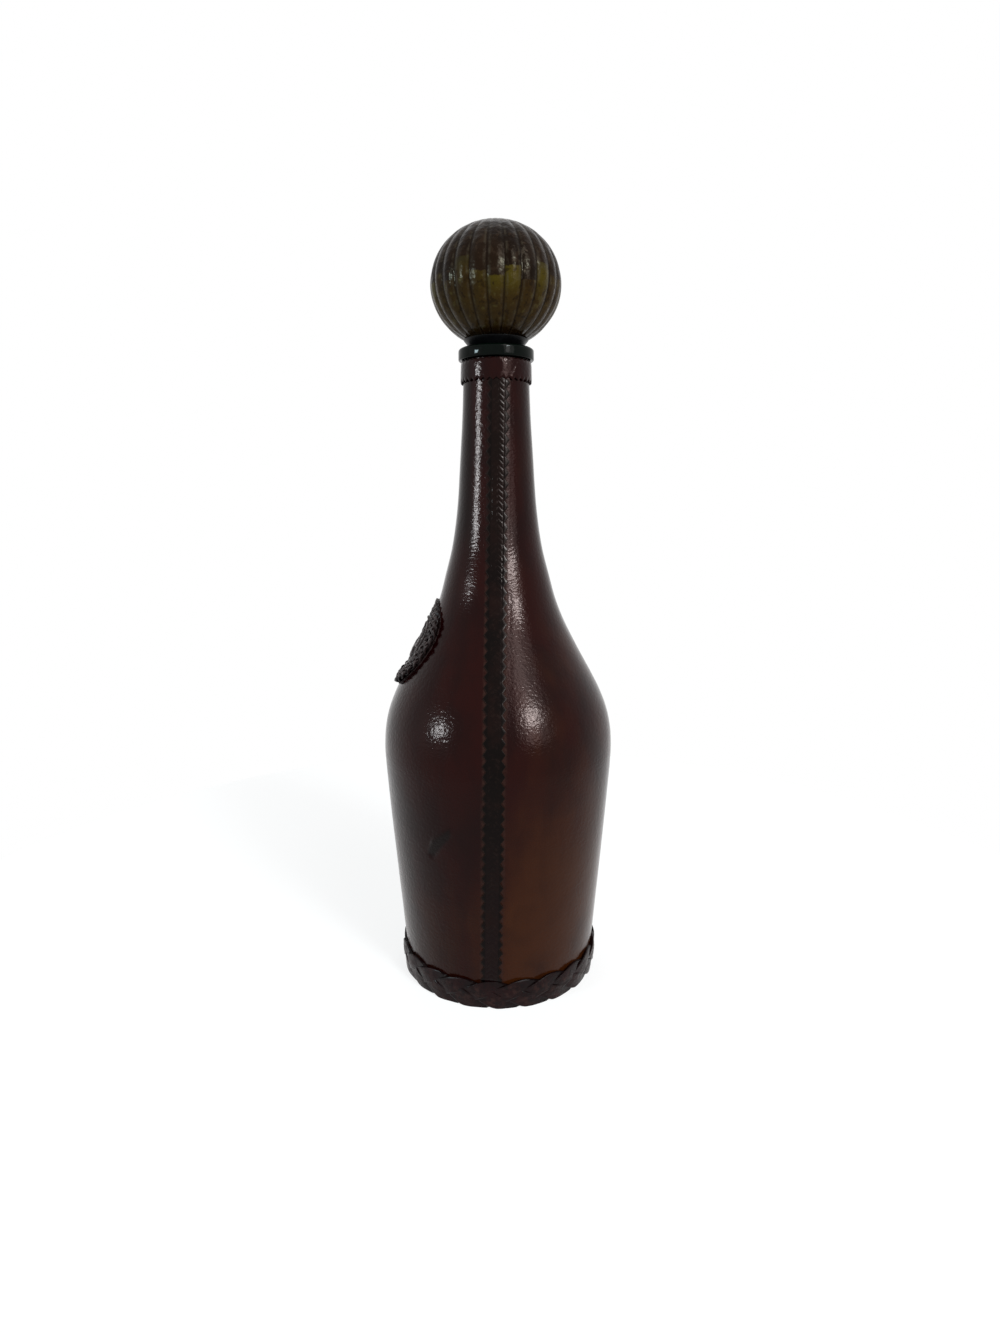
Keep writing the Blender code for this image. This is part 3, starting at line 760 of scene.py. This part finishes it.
def medallion_disc(name, node, radius, top, marks):
    """A closed disc, whose top is a function of the distance and angle from its middle."""
    rings, steps = 60, 240
    angle = (np.arange(steps) * math.tau / steps)[None, :]
    share = np.linspace(0.02, 1.0, rings)[:, None]
    reach = radius(angle) * share
    x, y = reach * np.sin(angle), reach * np.cos(angle)
    upper = on_medallion(x, y, top(reach, angle))
    lower = on_medallion(x, y, 0.05 * MM + 0 * reach)
    points = np.concatenate([upper.reshape(-1, 3), lower.reshape(-1, 3)])
    count = rings * steps
    quads = grid_quads(rings, steps, False, True)
    index = np.arange(steps)
    ahead = (index + 1) % steps
    last = count - steps
    rim = np.stack([last + index, last + ahead, count + last + ahead, count + last + index], axis=-1)
    faces = quads.tolist() + (quads[:, ::-1] + count).tolist() + rim.tolist()
    faces.append(index[::-1].tolist())
    faces.append((index + count).tolist())
    faces = [face[::-1] for face in faces]
    values = {mark: np.append(f(reach, angle).ravel(), np.zeros(count)) for mark, f in marks.items()}
    piece = add_piece(name, points, faces, marks=values)
    dress(piece, medallion_leather_material, "bottle", node)


def medallion_patch():
    def radius(angle):
        return MEDALLION_RADIUS - 0.35 * MM * zigzag(angle * 36 / math.tau)

    def top(reach, angle):
        return (0.62 * MM) * (1 - 0.35 * (reach / MEDALLION_RADIUS) ** 12) + 0 * angle

    def plain(reach, angle):
        return 0.15 + 0 * reach * angle

    # Dark over the base disc under the plait and boss: painted shade.
    def deep(reach, angle):
        return smooth_step(20.4 * MM, 19.6 * MM, reach) * 0.7 + 0 * angle

    medallion_disc("medallion_base", "medallion_patch", radius, top, {"high": plain, "deep": deep})


def rosette(reach, angle):
    """Height from 0 to 1 of a tooled rosette with eight petals inside a ring of beads."""
    petals = np.abs(np.cos(4 * angle))
    outline = 10.2 * MM * (0.45 + 0.55 * petals ** 0.6)
    petal = smooth_step(outline, outline - 1.1 * MM, reach)
    vein = 1 - 0.55 * smooth_step(0.10, 0.0, np.abs(np.sin(4 * angle))) * smooth_step(2 * MM, 4 * MM, reach)
    core = smooth_step(2.9 * MM, 2.3 * MM, reach)
    ring = smooth_step(0.55 * MM, 0.25 * MM, np.abs(reach - 11.9 * MM))
    beads = smooth_step(0.35, 0.75, zigzag(angle * 40 / math.tau))
    beads = beads * smooth_step(0.9 * MM, 0.5 * MM, np.abs(reach - 13.8 * MM))
    return np.maximum.reduce([petal * vein * (1 - smooth_step(3.4 * MM, 2.9 * MM, reach)), core, ring, beads])


def medallion_boss():
    edge = MEDALLION_RADIUS - 5.0 * MM

    def radius(angle):
        return edge + 0 * angle

    def top(reach, angle):
        dome = np.sqrt(np.clip(1 - (reach / edge) ** 2, 0, 1))
        tooled = 0.60 * MM * rosette(reach, angle) * smooth_step(edge, edge - 0.8 * MM, reach)
        lumps = medallion_lumps(reach * np.sin(angle), reach * np.cos(angle))
        return (0.75 + 0.60 * dome) * MM + tooled + lumps

    def deep(reach, angle):
        return 0.55 * (1 - rosette(reach, angle))

    # The raised rosette takes the lighter colour, partly a painted highlight, and its sunk ground takes
    # painted shade.
    medallion_disc("medallion_face", "medallion_boss", radius, top, {"high": rosette, "deep": deep})


def medallion_plait():
    """Two plaits of three thin strands each, side by side, crossing in opposite ways."""
    strands = []
    for row, (inset, periods) in enumerate(((1.75 * MM, 11), (4.15 * MM, 9))):
        middle = MEDALLION_RADIUS - inset
        length = math.tau * middle
        for k in range(3):
            along, across, outward, beside, over = strand(
                math.tau * k / 3, periods, length, middle=0.0, swing=0.85 * MM, weave=0.58 * MM,
                width=1.50 * MM, thickness=1.05 * MM, steps=480, seed=40 + 3 * row + k)
            angle = along / middle
            reach = middle + across
            x, y = reach * np.sin(angle), reach * np.cos(angle)
            flattened = 0.85 * MM * smooth_step(10 * MM, 18 * MM, y)
            lift = 1.50 * MM - flattened + medallion_lumps(x, y) + outward
            strands.append((on_medallion(x, y, lift), beside, over))
    add_plait("medallion_plait", strands, medallion_leather_material, "medallion_border")


# Glass, collar and cork

# Ribs whose painted golden reflection reaches higher, and ribs whose painted reflection is brighter
HIGH_REFLECTION_RIBS = (3, 7, 12, 18, 22)
BRIGHT_REFLECTION_RIBS = (0, 1, 3, 6, 8, 11, 13, 16, 19)


def turned_piece(name, node, steps, rounding):
    """A turned node's own section, turned again with its corners rounded."""
    profile, closed = meridian(node)
    return lathe(name, rounded(profile, rounding, closed), closed, steps)


def ball_profile():
    """(points, is_ball): the outer side down to the shank's foot, and back up inside."""
    start = math.acos((BALL_FLAT - BALL_CENTRE) / BALL_HALF_HEIGHT)
    outer = [(BALL_RADIUS * math.sin(a), BALL_CENTRE + BALL_HALF_HEIGHT * math.cos(a))
             for a in np.linspace(0, start, 150)]
    shank = [(SHANK_RADIUS + 0.8 * MM, BALL_FLAT), (SHANK_RADIUS, BALL_FLAT - 0.6 * MM),
             (SHANK_RADIUS, SHANK_BOTTOM + 0.4 * MM), (SHANK_RADIUS - 0.4 * MM, SHANK_BOTTOM),
             (SHANK_BORE_RADIUS + 0.3 * MM, SHANK_BOTTOM), (SHANK_BORE_RADIUS, SHANK_BOTTOM + 0.3 * MM)]
    radius = BALL_RADIUS - RIB_DEPTH - BALL_WALL
    half = BALL_CENTRE - BALL_FLAT - BALL_WALL
    end = math.pi - math.asin(SHANK_BORE_RADIUS / radius)
    inner = [(radius * math.sin(a), BALL_CENTRE + half * math.cos(a)) for a in np.linspace(end, 0, 60)]
    return np.array(outer + shank + inner), len(outer)


def stopper_ball():
    """The ribbed ball with its hollow shank. Its painted golden reflection starts at its own height on each
    rib.
    """
    profile, outer_rows = ball_profile()
    per_rib = 16
    steps = BALL_RIBS * per_rib
    turn = (np.arange(steps) * math.tau / steps)[None, :]
    crest = np.abs(np.cos(BALL_RIBS / 2 * turn))
    rows = len(profile) - 2
    ribbed = np.zeros((rows, 1))
    ribbed[:outer_rows - 1] = 1.0
    ribbed[outer_rows - 5:outer_rows - 1] = np.linspace(1, 0, 4)[:, None]

    def shape(grid):
        share = 1 - ribbed * RIB_DEPTH / BALL_RADIUS * (1 - crest)
        wobble = 1 + ribbed * 0.0035 * noise(grid, 0.009, 51)
        grid = grid.copy()
        grid[..., :2] *= (share * wobble)[..., None]
        return grid

    # groove marks the grooves for painted shade, edge the rib edges for a painted highlight.
    groove = ribbed * smooth_step(0.32, 0.05, crest)
    edge = ribbed * smooth_step(0.20, 0.42, crest) * smooth_step(0.72, 0.45, crest)
    rib = np.floor(turn * BALL_RIBS / math.tau + 0.5).astype(np.int64) % BALL_RIBS
    chance = hashed(np.stack([rib, rib * 0, rib * 0], axis=-1), 52)
    # Where each rib's painted golden reflection starts.
    start = BALL_CENTRE + (4.5 * chance - 3.5 + 6.5 * np.isin(rib, HIGH_REFLECTION_RIBS)) * MM
    golden_reflection = smooth_step(start + 1.4 * MM, start - 1.4 * MM, profile[1:-1, 1:]) * ribbed
    brighter_reflection = np.isin(rib, BRIGHT_REFLECTION_RIBS) * ribbed
    grids = {"groove": groove, "edge": edge, "golden_reflection": golden_reflection, "brighter_reflection": brighter_reflection}
    marks = {name: np.append(values.ravel(), np.zeros(2)) for name, values in grids.items()}
    piece = lathe("ball", profile, False, steps, shape, marks=marks)
    dress(piece, amber_glass_material, "stopper", "stopper_ball")


def stopper_cork():
    """The cork, with long pits in its side."""
    profile, closed = meridian("stopper_cork")
    corners = rounded(profile, 0.5 * MM, closed)
    fine = [corners[0]]
    for point in corners[1:]:
        steps = max(1, int(np.linalg.norm(point - fine[-1]) / (0.35 * MM)))
        fine.extend(fine[-1] + (point - fine[-1]) * k / steps for k in range(1, steps + 1))
    fine = np.array(fine)

    def pits(grid):
        return smooth_step(0.38, 0.62, noise(grid, np.array([0.0016, 0.0016, 0.0034]), 61))

    def shape(grid):
        reach = np.hypot(grid[..., 0], grid[..., 1])
        on_side = smooth_step(7.4 * MM, 7.9 * MM, reach)
        share = 1 - on_side * pits(grid) * 0.35 * MM / np.maximum(reach, MM)
        grid = grid.copy()
        grid[..., :2] *= share[..., None]
        return grid

    steps = 160
    turns = np.arange(steps) * math.tau / steps
    rings = fine if closed else fine[1:-1]
    deep = pits(around(rings[:, :1], rings[:, 1:], turns[None, :]))
    marks = {"deep": np.append(deep.ravel(), [] if closed else [0.0, 0.0])}
    piece = lathe("cork_plug", fine, closed, steps, shape, marks=marks)
    dress(piece, cork_material, "stopper", "stopper_cork")


def dress(piece, material, body, node):
    """Gives a piece its material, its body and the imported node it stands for."""
    piece.data.materials.append(material)
    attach(piece, body)
    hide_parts(node)


cover_leather_material = cover_leather()
strip_leather_material = strip_leather()
foot_leather_material = plaited_leather(
    "foot_leather", (0.0044, 0.0006, 0.0008), (0.0105, 0.0016, 0.0020), (0.0250, 0.0095, 0.0080), 0.11)
medallion_leather_material = plaited_leather(
    "medallion_leather", (0.0105, 0.0052, 0.0052), (0.0290, 0.0170, 0.0164), (0.0740, 0.0480, 0.0450), 0.12)
amber_glass_material = amber_glass()
cork_material = cork()

cover_panel("cover_right", "leather_panel_right", SEAM_TURN)
cover_panel("cover_left", "leather_panel_left", SEAM_TURN + math.pi)
seam_strip("strip_front", "seam_strip_front", 0.0)
seam_strip("strip_back", "seam_strip_back", math.pi)
neck_band()
foot_plait()
medallion_patch()
medallion_boss()
medallion_plait()
dress(turned_piece("bottle_glass", "glass_bottle", 180, 0.7 * MM), green_glass(), "bottle",
      "glass_bottle")
dress(turned_piece("collar", "stopper_collar", 160, 0.35 * MM), black_plastic(), "stopper",
      "stopper_collar")
stopper_ball()
stopper_cork()
NODES["leather_sole"].data.materials.clear()
NODES["leather_sole"].data.materials.append(sole_leather())


# Floor, lamps, world and camera

# The world's strength where diffuse light sees it
FILL = 0.08

# Name, turn and rise in degrees, distance, width, height, radiance and colour
LAMPS = (
    ("window_left", -61, 12.2, 1.5, 0.30, 0.19, 72.0, (0.72, 0.94, 1.0)),
    ("wall_left", -67, 8, 1.6, 1.24, 0.80, 0.30, (0.95, 0.95, 1.0)),
    ("window_right", 38, 27.5, 1.5, 0.32, 0.20, 60.0, (0.84, 0.98, 1.0)),
    ("wall_right", 35, 32, 1.6, 0.30, 1.50, 4.6, (1.0, 0.96, 0.95)),
    ("room_right", 39, 30, 1.7, 0.95, 1.60, 2.10, (1.0, 0.96, 0.95)),
)
# Lamps that only diffuse light sees
UNSEEN_LAMPS = (
    ("overhead", 0, 88, 1.4, 1.2, 1.2, 0.7, (1.0, 1.0, 1.0)),
    ("behind", 180, 25, 1.4, 1.2, 1.2, 2.0, (1.0, 1.0, 1.0)),
)


def floor():
    """A plain pale floor, white to the camera, gloss and glass, that keeps the decanter's shadow."""
    rings = np.array([[0.0, 0.0], [0.10, 0.0], [0.22, 0.0], [0.32, 0.0], [0.32, -0.004], [0.0, -0.004]])
    piece = lathe("floor", rings, False, 96)
    s = Shader("floor")
    rays = s.add("ShaderNodeLightPath").outputs
    seen = s.math("ADD", rays["Is Camera Ray"], rays["Is Glossy Ray"], True)
    seen = s.math("ADD", seen, rays["Is Transmission Ray"], True)
    tone = s.blend(seen, (0.42, 0.35, 0.30), (0.25, 0.25, 0.25))
    s.finish(base_color=tone, roughness=0.9, emission_color=(1.0, 1.0, 1.0),
             emission_strength=s.math("MULTIPLY", seen, 0.80), specular_ior_level=0.0)
    piece.data.materials.append(s.material)


def lamp(name, turn, rise, distance, width, height, radiance, color):
    """A soft rectangular lamp that faces the decanter's middle."""
    light = bpy.data.lights.new(name, "AREA")
    light.shape = "RECTANGLE"
    light.size = width
    light.size_y = height
    light.color = color
    light.energy = radiance * math.pi * width * height
    obj = bpy.data.objects.new(name, light)
    bpy.context.scene.collection.objects.link(obj)
    turn, rise = math.radians(turn), math.radians(rise)
    middle = Vector((0.0, 0.0, 0.16))
    away = Vector((math.sin(turn) * math.cos(rise), -math.cos(turn) * math.cos(rise), math.sin(rise)))
    obj.location = middle + away * distance
    obj.rotation_euler = away.to_track_quat("Z", "Y").to_euler()
    return obj


def world():
    """White to the camera, gloss and glass alike, and a dim fill for the light on the decanter."""
    made = bpy.data.worlds.new("studio")
    made.use_nodes = True
    tree = made.node_tree
    tree.nodes.clear()
    rays = tree.nodes.new("ShaderNodeLightPath").outputs
    seen = rays["Is Camera Ray"]
    for kind in ("Is Glossy Ray", "Is Transmission Ray"):
        added = tree.nodes.new("ShaderNodeMath")
        added.operation = "ADD"
        added.use_clamp = True
        tree.links.new(seen, added.inputs[0])
        tree.links.new(rays[kind], added.inputs[1])
        seen = added.outputs["Value"]
    strength = tree.nodes.new("ShaderNodeMapRange")
    strength.inputs["To Min"].default_value = FILL
    tree.links.new(seen, strength.inputs["Value"])
    background = tree.nodes.new("ShaderNodeBackground")
    background.inputs["Color"].default_value = (1.0, 1.0, 1.0, 1.0)
    tree.links.new(strength.outputs["Result"], background.inputs["Strength"])
    output = tree.nodes.new("ShaderNodeOutputWorld")
    tree.links.new(background.outputs["Background"], output.inputs["Surface"])
    bpy.context.scene.world = made


def camera():
    """The fitted camera, with a focal length of 805 pixels in a picture 1333 pixels high."""
    place = (0.0, -0.350, 0.2094)
    pitch, yaw, roll = math.radians(11.35), math.radians(0.166), -0.0045
    data = bpy.data.cameras.new("camera")
    data.sensor_width = 36.0
    data.lens = 36.0 * 805 / 1333
    obj = bpy.data.objects.new("camera", data)
    bpy.context.scene.collection.objects.link(obj)
    forward = Vector((math.sin(yaw) * math.cos(pitch), math.cos(yaw) * math.cos(pitch), -math.sin(pitch)))
    right = Vector((math.cos(yaw), -math.sin(yaw), 0.0))
    up = right.cross(forward)
    turned = Matrix((right, up, -forward)).transposed() @ Matrix.Rotation(roll, 3, "Z")
    obj.matrix_world = Matrix.Translation(place) @ turned.to_4x4()
    bpy.context.scene.camera = obj


floor()
for row in LAMPS:
    lamp(*row)
for row in UNSEEN_LAMPS:
    unseen = lamp(*row)
    unseen.visible_camera = False
    unseen.visible_glossy = False
    unseen.visible_transmission = False
world()
camera()
bpy.context.scene.view_settings.view_transform = "Standard"
